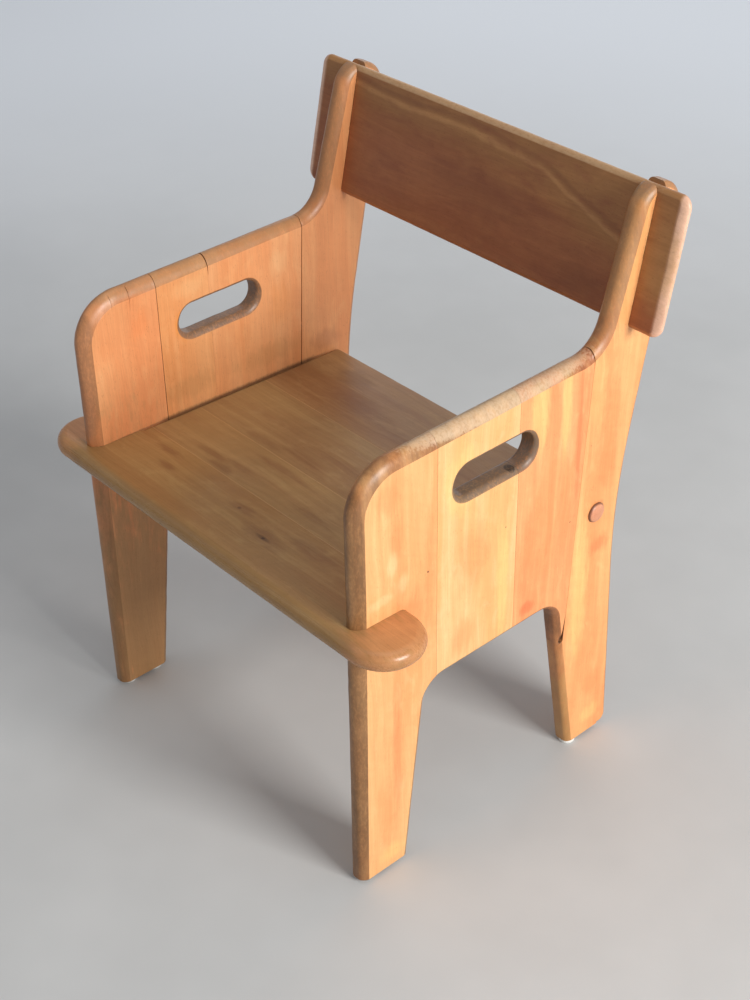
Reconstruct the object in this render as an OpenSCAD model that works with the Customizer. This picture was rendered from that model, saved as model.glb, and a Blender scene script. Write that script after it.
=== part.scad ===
// Low wooden armchair for a toddler: two plank sides, a seat board and a
// backrest board that slot together without screws.
// Frame: X to the sitter's left, Y to the rear, Z up. Z = 0 is the floor and
// the origin is the middle of the chair's overall depth and width.
// "Right" in names is the +X side, which is on the right as seen from the front.

/* [Sides] */
// Thickness of each side board
side_t = 16; // [14:0.5:18]
// Clear distance between the two sides
inner_w = 290; // [270:1:320]
// Height of the arm top above the feet
arm_h = 364.5; // [355:0.5:372]
// Radius of the arm's front corner
arm_corner_r = 38; // [25:1:45]
// Height of the post tops above the feet
post_h = 475.5; // [472:0.5:480]
// Radius of the rounded post top
post_top_r = 22; // [16:0.5:22]
// Radius where the arm runs up into the post
post_fillet_r = 26; // [15:1:32]
// Height of the arch between the legs
arch_h = 160; // [130:1:180]
// Radius of the arch's front corner
arch_front_r = 22; // [15:1:26]
// Radius of the arch's rear corner
arch_rear_r = 20; // [15:1:24]
// Length of the front foot, front to rear
front_foot = 45.5; // [40:0.5:50]
// Where the rear foot begins, behind the front edge
rear_foot_y = 222.5; // [218:0.5:228]
// Depth of a side at the floor
side_d = 268.5; // [264:0.5:274]

/* [Hand hole] */
// Length of the hand hole
hole_l = 77.5; // [70:0.5:82]
// Height of the hand hole
hole_h = 26; // [20:0.5:30]
// Distance of the hole's middle behind the front edge
hole_y = 129.5; // [126:0.5:133]
// Height of the hole's middle above the feet
hole_z = 317; // [310:0.5:322]

/* [Stave joints] */
// First joint of the right side, behind the front edge
joint_r1 = 74; // [70:0.5:80]
// Second joint of the right side
joint_r2 = 152; // [148:0.5:156]
// Third joint of the right side, measured at the arm top
joint_r3 = 226; // [224:0.5:227]
// First joint of the left side
joint_l1 = 71; // [68:0.5:80]
// Second joint of the left side
joint_l2 = 120; // [116:0.5:124]
// Third joint of the left side, measured at the arm top
joint_l3 = 216; // [214:0.5:218]
// Slant of the right side's third joint, in degrees
joint_slant_r = 3.9; // [3:0.1:4.2]
// Slant of the left side's third joint, in degrees
joint_slant_l = 3; // [2:0.1:4]

/* [Seat] */
// Thickness of the seat
seat_t = 16; // [14:0.5:17]
// Height of the seat top at the sides' front edge, above the feet
seat_h = 241; // [235:0.5:247]
// Fall of the seat to the rear, in degrees
seat_fall = 1.95; // [1:0.05:3]
// Overhang of the seat in front of the sides
seat_nose = 13; // [10:0.5:16]
// Depth of the slot that takes the seat in each side
ear_depth = 47; // [42:0.5:50]
// Reach of each rounded ear, from the middle of the chair
ear_reach = 198.5; // [194:0.5:202]
// Length of the seat behind the sides' front edge
seat_l = 250; // [247:0.5:254]
// Gap between the seat's rear part and each side
seat_gap = 1.5; // [0.5:0.25:2.5]
// First seat board joint
seat_j1 = 54; // [52:0.5:60]
// Second seat board joint
seat_j2 = 101; // [95:0.5:110]
// Third seat board joint
seat_j3 = 168; // [160:0.5:175]

/* [Backrest] */
// Thickness of the backrest board
back_t = 8; // [7:0.25:9]
// Length of the backrest board
back_l = 376; // [370:1:384]
// Height of the backrest board along its own face
back_h = 103; // [100:0.5:105]
// Lean of the backrest, in degrees
lean = 12.25; // [11.5:0.25:13]
// Height of the backrest's bottom edge above the feet
back_z = 374; // [372:0.5:377]
// Distance of the front face's bottom edge behind the sides' front edge
back_y = 257.5; // [256:0.5:259]
// Corner radius of the backrest board
back_r = 9; // [6:0.5:14]
// Play between the backrest and its slots, all round
play = 0.2; // [0.1:0.05:0.4]

/* [Pegs and glides] */
// Distance of the peg behind the front edge
peg_y = 238; // [236:0.5:240]
// Peg shank diameter
peg_d = 10; // [8:0.5:10]
// Peg head diameter
peg_head_d = 16.5; // [14:0.5:19]
// Peg head height, dome included
peg_head_h = 3.2; // [2.5:0.1:4.5]
// Length of peg inside the seat
peg_in = 32; // [20:1:45]
// Glide diameter
glide_d = 13; // [11:0.5:14]
// Glide height
glide_h = 3; // [2:0.25:4]
// Nail shank diameter
nail_d = 2.2; // [1.8:0.1:2.6]
// Nail length inside the leg
nail_l = 14; // [10:1:20]

/* [Hidden] */

honey = [0.87, 0.62, 0.36];
amber = [0.80, 0.54, 0.29];
brown = [0.62, 0.40, 0.23];
off_white = [0.93, 0.93, 0.9];
grey = [0.6, 0.6, 0.6];

arc_steps = 14;                // steps in a rounded corner
round_slack = 0.01;            // keeps the two arcs of a round end from meeting

// Sides; leans are y per z
inner_x = inner_w / 2;         // inner face of a side
outer_x = inner_x + side_t;
mid_x = inner_x + side_t / 2;
foot_r = 2;
heel_r = 8;                    // rear corner of the rear foot
front_leg_lean = 0.12;         // front leg's rear edge
rear_leg_lean = -0.161;        // rear leg's front edge
post_front_y = 233.85;         // post's front edge, carried down to the arm top
post_front_lean = 0.30;
post_rear_lean = 0.20;
knee = [261.5, 225];           // y, z of the bend in the rear edge
knee_r = 560;
stave_y = [-10, 400];          // reach of the stave bands, beyond the side
stave_z = [-10, 500];

// Seat
slot_fit = 0.15;               // clearance of the seat in its slots
ear_length = seat_nose + ear_depth;
ear_r = ear_length / 2;
ear_x = ear_reach - ear_r;     // middle of the ear's round end
seat_x = inner_x - seat_gap;   // end of the seat's rear part

// Pegs and glides
peg_z = -seat_t / 2;           // pegs run in the seat's middle plane
peg_rim_h = 1.2;               // straight rim under the head's dome
bore_play = 0.1;               // added to a bore's diameter
glide_inset = 9.5;             // front foot's glides, from the foot's ends
// y behind the front edge, shift towards the outer face
glide_spots = [
    [glide_inset, 0],
    [front_foot - glide_inset, 0],
    [rear_foot_y + 6.8, 1.2],
    [side_d - 10, -1.5]];
glide_recess = 0.6;            // depth of the recess under the nail
glide_edge = 1;                // bevel of the glide's bottom edge
nail_taper_from = 1;           // the point starts this far short of nail_l
nail_point_h = 1.4;
nail_point_d = 0.6;

function unit(v) = v / norm(v);
function wrap(angle) = angle > 180 ? angle - 360 : angle < -180 ? angle + 360 : angle;

// arc of radius r that rounds the corner at tip, between the points before and after
function corner(before, tip, after, r) =
    r <= 0 ? [tip] :
    let (back = unit(before - tip), ahead = unit(after - tip),
         half = acos(back * ahead) / 2,
         centre = tip + unit(back + ahead) * r / sin(half),
         start = tip + back * r / tan(half) - centre,
         end = tip + ahead * r / tan(half) - centre,
         from = atan2(start[1], start[0]),
         sweep = wrap(atan2(end[1], end[0]) - from))
    [for (i = [0:arc_steps])
        let (angle = from + sweep * i / arc_steps)
        centre + r * [cos(angle), sin(angle)]];

// outline through vertices [across, up, radius]
function rounded(vertices) =
    let (count = len(vertices), points = [for (v = vertices) [v[0], v[1]]])
    [for (i = [0:count - 1])
        each corner(points[(i + count - 1) % count], points[i],
            points[(i + 1) % count], vertices[i][2])];

// rectangle between two opposite corners, with a radius for each end
function rounded_rect(low, high, low_r, high_r) = rounded([
    [low[0], low[1], low_r], [high[0], low[1], high_r],
    [high[0], high[1], high_r], [low[0], high[1], low_r]]);

// outline of a side in y, z: front edge at y = 0, feet at z = 0
side_outline = rounded([
    [0, 0, foot_r],
    [front_foot, 0, foot_r],
    [front_foot + front_leg_lean * arch_h, arch_h, arch_front_r],
    [rear_foot_y + rear_leg_lean * arch_h, arch_h, arch_rear_r],
    [rear_foot_y, 0, foot_r],
    [side_d, 0, heel_r],
    [knee[0], knee[1], knee_r],
    [knee[0] + post_rear_lean * (post_h - knee[1]), post_h, post_top_r],
    [post_front_y + post_front_lean * (post_h - arm_h), post_h, post_top_r],
    [post_front_y, arm_h, post_fillet_r],
    [0, arm_h, arm_corner_r]]);

hole_end_r = hole_h / 2 - round_slack;
hole_outline = rounded_rect(
    [hole_y - hole_l / 2, hole_z - hole_h / 2],
    [hole_y + hole_l / 2, hole_z + hole_h / 2], hole_end_r, hole_end_r);

// slot for the seat, in the seat's own tilted axes, open at the front
slot_outline = rounded_rect([-30, -seat_t - slot_fit], [ear_depth + slot_fit, slot_fit],
    0, seat_t / 2 + slot_fit - round_slack);

// middle between the seat's nose and the post tops, behind the sides' front edge
depth_mid = (max([for (p = side_outline) p[0]]) - seat_t / 2 * (1 + sin(seat_fall))
    - (seat_nose - seat_t / 2) * cos(seat_fall)) / 2;

// joints of a side: y of the three joints, then the third one's slant
right_joints = [joint_r1, joint_r2, joint_r3, joint_slant_r];
left_joints = [joint_l1, joint_l2, joint_l3, joint_slant_l];

// y of stave k's rear edge at height z; k = 0 gives the first stave's front edge
function joint_y(k, joints, z) =
    k == 0 ? stave_y[0] :
    k == 3 ? joints[2] - (arm_h - z) * tan(joints[3]) :
    k == 4 ? stave_y[1] :
    joints[k - 1];

// band of a side that stave k covers
function band(k, joints) =
    let (low = stave_z[0], high = stave_z[1])
    [[joint_y(k - 1, joints, low), low], [joint_y(k, joints, low), low],
     [joint_y(k, joints, high), high], [joint_y(k - 1, joints, high), high]];

// centre of glide i at floor level; side is 1 for +X, -1 for -X
function glide_place(i, side = 1) =
    [side * (mid_x + glide_spots[i][1]), glide_spots[i][0] - depth_mid, 0];

// repeats a child on the +X and -X sides
module both_sides() {
    for (s = [0, 1]) mirror([s, 0, 0]) children();
}

// turns a drawing in y, z into the thickness of the side on +X
module side_board() {
    translate([inner_x, -depth_mid, glide_h]) rotate([90, 0, 90])
        linear_extrude(side_t) children();
}

// moves into the seat's tilted axes: y from the sides' front edge, z from the seat top
module seat_axes() {
    translate([0, -depth_mid, glide_h + seat_h]) rotate([-seat_fall, 0, 0]) children();
}

// moves into the backrest's axes: y = 0 at its front face, z = 0 at its bottom edge
module back_axes() {
    translate([0, back_y - depth_mid, back_z + glide_h]) rotate([-lean, 0, 0]) children();
}

// within the seat's axes, turns z along the peg, outwards from the chair's middle
module peg_axes() {
    translate([0, peg_y, peg_z]) rotate([0, 90, 0]) children();
}

// bore for a peg, starting at x
module peg_bore(x, length) {
    peg_axes() translate([0, 0, x]) cylinder(d = peg_d + bore_play, h = length, $fn = 48);
}

module stave_blank(k, joints) {
    intersection() {
        polygon(side_outline);
        polygon(band(k, joints));
    }
}

module seat_slot() {
    translate([0, seat_h]) rotate(-seat_fall) polygon(slot_outline);
}

// slot for the backrest, open at the post top
module back_slot() {
    translate([back_y, back_z]) rotate(-lean)
        translate([-play, back_h / 2 - play]) square([back_t + 2 * play, 80]);
}

// stave k of the side on +X, counted from the front
module stave(k, joints) {
    difference() {
        side_board() difference() {
            stave_blank(k, joints);
            if (k < 4) polygon(hole_outline);
            if (k == 1) seat_slot();
            if (k == 4) back_slot();
        }
        if (k == 4) seat_axes() peg_bore(inner_x - 5, side_t + 10);
        // nail bores in the feet
        if (k == 1 || k == 4) for (i = k == 1 ? [0, 1] : [2, 3])
            translate(glide_place(i) + [0, 0, glide_h - 1])
                cylinder(d = nail_d + bore_play, h = nail_l + 1.5, $fn = 24);
    }
}

module right_stave(k) { color(honey) stave(k, right_joints); }
module left_stave(k) { color(honey) mirror([1, 0, 0]) stave(k, left_joints); }

module side_right_stave_1() { right_stave(1); }
module side_right_stave_2() { right_stave(2); }
module side_right_stave_3() { right_stave(3); }
module side_right_stave_4() { right_stave(4); }
module side_left_stave_1() { left_stave(1); }
module side_left_stave_2() { left_stave(2); }
module side_left_stave_3() { left_stave(3); }
module side_left_stave_4() { left_stave(4); }

// section of the front strip, both long edges fully rounded
module nose_section() {
    translate([seat_t / 2, -seat_t]) square([ear_length - seat_t, seat_t]);
    for (y = [seat_t / 2, ear_length - seat_t / 2])
        translate([y, -seat_t / 2]) circle(d = seat_t, $fn = 64);
}

// round end of an ear, edge rounded over its whole thickness
module ear_end() {
    rotate([0, 0, -90]) rotate_extrude(angle = 180, $fn = 96) {
        translate([0, -seat_t]) square([ear_r - seat_t / 2, seat_t]);
        translate([ear_r - seat_t / 2, -seat_t / 2]) intersection() {
            circle(d = seat_t, $fn = 64);
            translate([0, -seat_t]) square([seat_t, 2 * seat_t]);
        }
    }
}

// plain seat board between the sides, from y = front to y = rear
module seat_board(front, rear) {
    translate([-seat_x, front, -seat_t]) cube([2 * seat_x, rear - front, seat_t]);
}

module seat_board_front() {
    color(amber) seat_axes() {
        translate([-ear_x, -seat_nose, 0]) rotate([90, 0, 90])
            linear_extrude(2 * ear_x) nose_section();
        // squares off the strip's rounded rear edge between the sides
        seat_board(ear_depth - seat_t, seat_j1);
        both_sides() translate([ear_x, ear_r - seat_nose, 0]) ear_end();
    }
}

module seat_board_2() { color(amber) seat_axes() seat_board(seat_j1, seat_j2); }
module seat_board_3() { color(amber) seat_axes() seat_board(seat_j2, seat_j3); }
module seat_board_rear() {
    color(amber) seat_axes() difference() {
        seat_board(seat_j3, seat_l);
        both_sides() peg_bore(seat_x - peg_in - 1, peg_in + 10);
    }
}

// board with a slot from below for each post
module backrest() {
    color(brown) back_axes() translate([0, back_t, 0]) rotate([90, 0, 0])
        linear_extrude(back_t) difference() {
            polygon(rounded_rect([-back_l / 2, 0], [back_l / 2, back_h], back_r, back_r));
            for (s = [-1, 1]) translate([s * mid_x - side_t / 2 - play, -20])
                square([side_t + 2 * play, 20 + back_h / 2]);
        }
}

// round peg through a side into the seat's end, with a domed head outside
module peg() {
    dome_h = peg_head_h - peg_rim_h;
    dome_r = (pow(peg_head_d / 2, 2) + dome_h * dome_h) / (2 * dome_h);
    seat_axes() peg_axes() {
        translate([0, 0, seat_x - peg_in])
            cylinder(d = peg_d, h = peg_in + seat_gap + side_t, $fn = 48);
        translate([0, 0, outer_x]) cylinder(d = peg_head_d, h = peg_rim_h, $fn = 64);
        translate([0, 0, outer_x + peg_rim_h]) intersection() {
            translate([0, 0, dome_h - dome_r]) sphere(r = dome_r, $fn = 96);
            cylinder(d = peg_head_d, h = dome_h + 1, $fn = 64);
        }
    }
}

module peg_right() { color(brown) peg(); }
module peg_left() { color(brown) mirror([1, 0, 0]) peg(); }

// places a child at each glide position
module at_glides() {
    for (side = [-1, 1]) for (i = [0:3]) translate(glide_place(i, side)) children();
}

// discs under the feet, bored for the nails
module glides() {
    bore_r = (nail_d + bore_play) / 2;
    recess_r = nail_d;
    color(off_white) at_glides() rotate_extrude($fn = 48)
        polygon([[bore_r, glide_recess], [recess_r, glide_recess], [recess_r, 0],
            [glide_d / 2 - glide_edge, 0], [glide_d / 2, glide_edge],
            [glide_d / 2, glide_h], [bore_r, glide_h]]);
}

module glide_nails() {
    shank_h = glide_h - glide_recess + nail_l - nail_taper_from;
    color(grey) at_glides() translate([0, 0, glide_recess]) {
        cylinder(d = nail_d, h = shank_h, $fn = 24);
        translate([0, 0, shank_h])
            cylinder(d1 = nail_d, d2 = nail_point_d, h = nail_point_h, $fn = 24);
    }
}

side_right_stave_1();
side_right_stave_2();
side_right_stave_3();
side_right_stave_4();
side_left_stave_1();
side_left_stave_2();
side_left_stave_3();
side_left_stave_4();
seat_board_front();
seat_board_2();
seat_board_3();
seat_board_rear();
backrest();
peg_right();
peg_left();
glides();
glide_nails();
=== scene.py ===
"""Beech armchair frame: two sides glued from four staves each, a seat of four boards, a backrest
board, two pegs and eight glide discs under the feet.

"Right" is +X, the front faces -Y, +Z is up and the glides stand on z = 0. Sizes are in mm.
A board's own axes are u and v in its face and w through it. For a side, u runs to the rear from
its front edge and v up from its feet. A joint or cut plane is a point and a normal, in metres.
"""
import math
from contextlib import contextmanager

import bmesh
import bpy
import numpy as np
from mathutils import Matrix, Vector, noise
from mathutils.geometry import delaunay_2d_cdt


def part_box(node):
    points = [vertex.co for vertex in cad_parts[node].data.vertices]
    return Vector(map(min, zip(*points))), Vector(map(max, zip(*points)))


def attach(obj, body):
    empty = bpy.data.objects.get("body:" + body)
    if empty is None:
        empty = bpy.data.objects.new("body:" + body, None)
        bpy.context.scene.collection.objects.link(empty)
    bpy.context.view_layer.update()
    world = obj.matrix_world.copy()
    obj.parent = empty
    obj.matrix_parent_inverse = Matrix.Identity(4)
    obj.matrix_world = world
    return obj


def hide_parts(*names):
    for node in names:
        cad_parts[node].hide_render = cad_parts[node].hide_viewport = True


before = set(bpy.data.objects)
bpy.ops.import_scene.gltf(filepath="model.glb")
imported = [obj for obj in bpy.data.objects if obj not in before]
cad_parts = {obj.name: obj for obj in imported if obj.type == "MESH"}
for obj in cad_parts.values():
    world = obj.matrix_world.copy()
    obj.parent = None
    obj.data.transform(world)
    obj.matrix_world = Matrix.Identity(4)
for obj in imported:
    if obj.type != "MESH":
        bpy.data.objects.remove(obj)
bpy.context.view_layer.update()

MM = 0.001

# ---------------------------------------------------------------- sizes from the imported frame
low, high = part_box("side_right_stave_2")
INNER, OUTER = low.x / MM, high.x / MM         # x of a side's inner and outer face
MIDDLE, HALF = (INNER + OUTER) / 2, (OUTER - INNER) / 2
low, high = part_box("side_right_stave_1")
FRONT, FEET = -low.y / MM, low.z / MM          # the sides start at y = -FRONT and z = FEET
ARM = high.z / MM - FEET
low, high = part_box("side_right_stave_4")
POST_TOP = high.z / MM - FEET
low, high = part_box("seat_board_front")
EAR_REACH = high.x / MM
low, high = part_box("backrest")
BACK_L = (high.x - low.x) / MM

# ---------------------------------------------------------------- sizes of the drawing
SIDES = (("right", 1), ("left", -1))           # name and sign of x

SEAT_T, SEAT_H, SEAT_L = 16, 241, 250          # thickness, height of the top in front, rear edge
SEAT_FALL = 1.95                               # degrees down to the rear
SEAT_JOINTS = (54, 101, 168)
GAP = 1.5                                      # between the seat and a side
SEAT_EDGE = INNER - GAP
NOSE, EAR_DEPTH = 13, 47                       # the seat's ears, before and behind the side's front
EAR_R = (NOSE + EAR_DEPTH) / 2 - 0.4

BACK_T, BACK_H, BACK_LEAN = 8, 103, 12.25      # thickness, height, degrees to the rear
BACK_Y, BACK_Z, BACK_R = 257.5, 374, 9         # lower front edge, corner radius

PEG_Y, PEG_D, PEG_IN = 238, 10, 32             # place along the seat, diameter, depth in the seat
PEG_HEAD, PEG_HEAD_H = 16.5, 3.2

# u of a side's three joints, and the third one's lean in degrees
JOINTS = {"right": (74, 152, 226, 3.9), "left": (71, 120, 216, 3.0)}
# groove width, depth and darkness of each joint
GROOVES = {"right": ((0.2, 0.25, 0.62), (0.2, 0.25, 0.5), (0.2, 0.3, 0.55)),
           "left": ((0.34, 0.5, 1.0), (0.14, 0.1, 0.25), (0.5, 1.4, 1.0))}
SEAT_GROOVES = ((0.3, 0.12, 1.0),) * 3
HOLE_U, HOLE_V, HOLE_L, HOLE_H = 129.5, 317, 77.5, 26
KNEE_U, KNEE_V = 261.5, 225                    # where the rear edge bends
GLIDES = ((0, 9.5), (0, 36), (1.2, 229.3), (-1.5, 258.5))   # outwards from the middle, u
FIT, PLAY = 0.15, 0.2                          # clearance of the seat's and the backrest's slots


# ---------------------------------------------------------------- outlines and boards
def corner_arc(before, corner, after, radius):
    """Points of the arc that rounds a corner between its neighbours."""
    before, corner, after = Vector(before), Vector(corner), Vector(after)
    if radius <= 0:
        return [corner]
    back, ahead = (before - corner).normalized(), (after - corner).normalized()
    half = math.acos(max(-1, min(1, back.dot(ahead)))) / 2
    centre = corner + (back + ahead).normalized() * (radius / math.sin(half))
    start = corner + back * (radius / math.tan(half)) - centre
    end = corner + ahead * (radius / math.tan(half)) - centre
    first = math.atan2(start.y, start.x)
    turn = math.atan2(end.y, end.x) - first
    if turn > math.pi:
        turn -= 2 * math.pi
    elif turn < -math.pi:
        turn += 2 * math.pi
    count = max(5, int(abs(turn) * min(radius, 60) / 1.3), int(abs(turn) / 0.09))
    angles = [first + turn * i / count for i in range(count + 1)]
    return [centre + Vector((math.cos(angle), math.sin(angle))) * radius for angle in angles]


def corner_arcs(corners):
    """One arc for each corner (u, v, radius, ...)."""
    count = len(corners)
    return [corner_arc(corners[i - 1][:2], corners[i][:2], corners[(i + 1) % count][:2],
                       corners[i][2]) for i in range(count)]


def outline(corners, step=3.2):
    """Turns [(u, v, radius, roundover of the edge that follows)] to fine [(u, v, roundover)]."""
    arcs, out = corner_arcs(corners), []
    for i, arc in enumerate(arcs):
        before, after = corners[i - 1][3], corners[i][3]
        for j, point in enumerate(arc):
            part = j / (len(arc) - 1) if len(arc) > 1 else 0.5
            part = part * part * (3 - 2 * part)
            out.append((point.x, point.y, before + (after - before) * part))
        following = arcs[(i + 1) % len(arcs)][0]
        count = max(1, round((following - arc[-1]).length / step))
        out += [(*arc[-1].lerp(following, j / count), after) for j in range(1, count)]
    return out


def inside(point, polygon):
    x, y = point
    hit = False
    for i in range(len(polygon)):
        (xi, yi), (xj, yj) = polygon[i], polygon[i - 1]
        if (yi > y) != (yj > y) and x < (xj - xi) * (y - yi) / (yj - yi) + xi:
            hit = not hit
    return hit


def inward(loop, sign):
    """For each point, about a unit step into the material; sign is -1 for a hole."""
    count, out = len(loop), []
    area = sum(loop[i][0] * loop[(i + 1) % count][1] - loop[(i + 1) % count][0] * loop[i][1]
               for i in range(count))
    flip = 1 if area * sign > 0 else -1
    for i in range(count):
        before, here = Vector(loop[i - 1][:2]), Vector(loop[i][:2])
        after = Vector(loop[(i + 1) % count][:2])
        arriving, leaving = (here - before).normalized(), (after - here).normalized()
        first = Vector((-arriving.y, arriving.x))
        both = first + Vector((-leaving.y, leaving.x))
        if both.length > 1e-6:
            out.append(both / max(0.35, both.length_squared / 2) * flip)
        else:
            out.append(first * flip)
    return out


def fill_cap(bm, rings, place, w, grid=9.0):
    """Fills a flat face bounded by rings of (vertex, (u, v)), with a grid of inner points."""
    points = [Vector(uv) for ring in rings for _, uv in ring]
    verts = [vert for ring in rings for vert, _ in ring]
    edges = []
    for ring in rings:
        start = len(edges)
        edges += [(start + i, start + (i + 1) % len(ring)) for i in range(len(ring))]
    border = np.array([tuple(point) for point in points])
    outer, *holes = [[uv for _, uv in ring] for ring in rings]

    def solid(point):
        return inside(point, outer) and not any(inside(point, hole) for hole in holes)

    least, most = border.min(0), border.max(0)
    for i in range(int((most[0] - least[0]) / grid) + 1):
        for j in range(int((most[1] - least[1]) / grid) + 1):
            u = least[0] + (i + (0.25 if j % 2 else 0.75)) * grid
            v = least[1] + (j + 0.5) * grid
            near = np.min(np.hypot(border[:, 0] - u, border[:, 1] - v)) < grid * 0.55
            if near or not solid((u, v)):
                continue
            points.append(Vector((u, v)))
            verts.append(bm.verts.new(place(u, v, w)))
    found, _, triangles, sources, _, _ = delaunay_2d_cdt(points, edges, [], 0, 1e-5)
    for triangle in triangles:
        if not solid((sum(found[i].x for i in triangle) / 3, sum(found[i].y for i in triangle) / 3)):
            continue
        corners = [verts[sources[i][0]] for i in triangle]
        if len(set(corners)) == 3:
            try:
                bm.faces.new(corners)
            except ValueError:   # the same face exists already, where points have been merged
                pass


def slab(loops, half, place, steps=7, shoulder=0.0):
    """Board with rounded edges; loops of (u, v, roundover) are the outline, then any holes.
    The shoulder is the angle at which the roundover leaves the flat face."""
    bm = bmesh.new()
    turns = [shoulder + (math.pi / 2 - shoulder) * k / steps for k in range(steps + 1)]
    if shoulder:
        turns.insert(1, shoulder + 0.02)
        steps += 1
    caps = {1: [], -1: []}
    for index, loop in enumerate(loops):
        steps_in = inward(loop, -1 if index else 1)
        rows = []
        for side, order in ((1, range(steps + 1)), (-1, range(steps, -1, -1))):
            for k in order:
                turn, row = turns[k], []
                for (u, v, over), step in zip(loop, steps_in):
                    off = over * (1 - math.sin(turn)) / (1 - math.sin(shoulder))
                    drop = min(over, half - 0.15) * (math.cos(shoulder) - math.cos(turn))
                    w = half - drop / math.cos(shoulder)
                    row.append(bm.verts.new(place(u + step.x * off, v + step.y * off, side * w)))
                rows.append(row)
                if k == 0:
                    caps[side].append([(vert, (u + step.x * over, v + step.y * over))
                                       for vert, (u, v, over), step in zip(row, loop, steps_in)])
        count = len(loop)
        for row, following in zip(rows, rows[1:]):
            for i in range(count):
                j = (i + 1) % count
                bm.faces.new((row[i], row[j], following[j], following[i]))
    for side, rings in caps.items():
        fill_cap(bm, rings, place, side * half)
    bmesh.ops.recalc_face_normals(bm, faces=bm.faces)
    return bm


# ---------------------------------------------------------------- solids and cuts
def prism(points, start, end, place):
    """Closed prism over a polygon."""
    bm = bmesh.new()
    first = [bm.verts.new(place(u, v, start)) for u, v in points]
    last = [bm.verts.new(place(u, v, end)) for u, v in points]
    bm.faces.new(first)
    bm.faces.new(last[::-1])
    for i in range(len(points)):
        j = (i + 1) % len(points)
        bm.faces.new((first[i], last[i], last[j], first[j]))
    bmesh.ops.recalc_face_normals(bm, faces=bm.faces)
    return bm


def circle(radius, count):
    return [(radius * math.cos(2 * math.pi * i / count), radius * math.sin(2 * math.pi * i / count))
            for i in range(count)]


def rod(radius, start, end, place, count=48):
    return prism(circle(radius, count), start, end, place)


def lathe(profile, place, count):
    """Solid of revolution over a profile of (radius, height)."""
    bm = bmesh.new()
    rings = [[bm.verts.new(place(across, along, height))
              for across, along in (circle(radius, count) if radius >= 1e-6 else [(0, 0)])]
             for radius, height in profile]
    for ring, following in zip(rings, rings[1:]):
        for i in range(count):
            j = (i + 1) % count
            if len(ring) == 1:
                bm.faces.new((ring[0], following[i], following[j]))
            elif len(following) == 1:
                bm.faces.new((ring[i], ring[j], following[0]))
            else:
                bm.faces.new((ring[i], ring[j], following[j], following[i]))
    bmesh.ops.recalc_face_normals(bm, faces=bm.faces)
    return bm


def bisect(bm, point, normal, clear_outer=False):
    bmesh.ops.bisect_plane(bm, geom=bm.verts[:] + bm.edges[:] + bm.faces[:], dist=1e-7,
                           plane_co=point, plane_no=normal, clear_outer=clear_outer)


def sink(vert, faces, normal, depth):
    """Moves a vertex into the material, within the plane of the normal."""
    out = sum((face.normal for face in faces), Vector((0, 0, 0)))
    out -= normal * out.dot(normal)
    if out.length > 1e-6:
        vert.co -= out.normalized() * depth * MM


def cut(bm, point, normal, groove, depth):
    """Removes what lies on the normal's side of a plane and leaves a groove along the new edge."""
    point, normal = Vector(point), Vector(normal).normalized()
    bisect(bm, point - normal * groove * MM, normal)
    bisect(bm, point, normal, clear_outer=True)
    edges = [edge for edge in bm.edges if len(edge.link_faces) == 1]
    bm.normal_update()
    for vert in {vert for edge in edges for vert in edge.verts}:
        sink(vert, vert.link_faces, normal, depth)
    bmesh.ops.holes_fill(bm, edges=edges, sides=0)
    bmesh.ops.recalc_face_normals(bm, faces=bm.faces)


def cut_piece(whole, index, planes, grooves, broken=False):
    """Piece between two joints of a board, and its joint planes with their darkness.
    A broken piece is only scored at its joint; a cutter shapes it later."""
    bm, used = whole.copy(), []
    for joint, sign in ((index - 1, -1), (index, 1)):
        if 0 <= joint < len(planes):
            (point, normal), (width, depth, darkness) = planes[joint], grooves[joint]
            if broken:
                bisect(bm, Vector(point) + Vector(normal) * width * MM, normal)
            else:
                cut(bm, point, Vector(normal) * sign, width, depth)
            used.append((point, normal, darkness))
    return bm, used


# ---------------------------------------------------------------- objects
made = {}


def to_object(name, bm):
    mesh = bpy.data.meshes.new(name)
    bm.to_mesh(mesh)
    bm.free()
    piece = bpy.data.objects.new(name, mesh)
    bpy.context.scene.collection.objects.link(piece)
    return piece


@contextmanager
def edited(piece):
    """Opens an object's mesh as a bmesh and writes it back."""
    bm = bmesh.new()
    bm.from_mesh(piece.data)
    yield bm
    bm.to_mesh(piece.data)
    bm.free()
    piece.data.update()


def register(piece, ride, node):
    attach(piece, ride)
    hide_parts(node)
    made[piece.name] = piece


def subtract(piece, cutters):
    """Cuts each closed cutter out of a piece."""
    for bm in cutters:
        cutter = to_object("cutter", bm)
        modifier = piece.modifiers.new("cut", "BOOLEAN")
        modifier.operation = "DIFFERENCE"
        modifier.solver = "EXACT"
        modifier.object = cutter
        depsgraph = bpy.context.evaluated_depsgraph_get()
        mesh = bpy.data.meshes.new_from_object(piece.evaluated_get(depsgraph))
        piece.modifiers.clear()
        old, piece.data = piece.data, mesh
        bpy.data.meshes.remove(old)
        bpy.data.objects.remove(cutter)


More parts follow.
